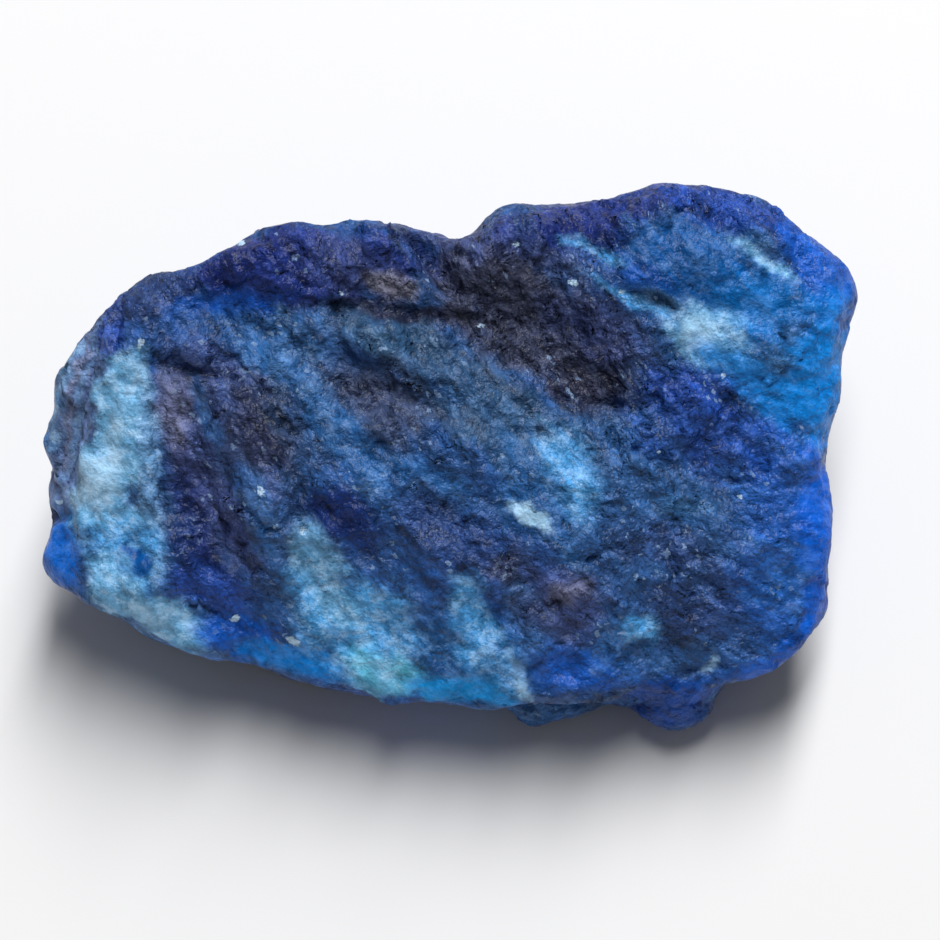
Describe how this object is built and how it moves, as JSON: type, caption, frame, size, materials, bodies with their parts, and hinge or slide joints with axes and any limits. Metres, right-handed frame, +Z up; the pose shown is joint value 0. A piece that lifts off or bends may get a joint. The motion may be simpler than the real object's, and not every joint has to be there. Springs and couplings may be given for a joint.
{
  "type": "rough hauyne specimen",
  "caption": "Rough piece of blue hauyne: a lumpy wedge-shaped stone with a broad leaning face, broken sides and a flat base to rest on.",
  "frame": {"origin": "middle of the bounding box, at the height of the base", "axes": "+X along the stone's length to its right-hand end, +Y from the low front edge to the high rear edge, +Z up"},
  "size_m": [0.028, 0.0168, 0.0122],
  "materials": {
    "hauyne": null
  },
  "bodies": {
    "root": {"hauyne_stone": "hauyne"}
  },
  "joints": []
}
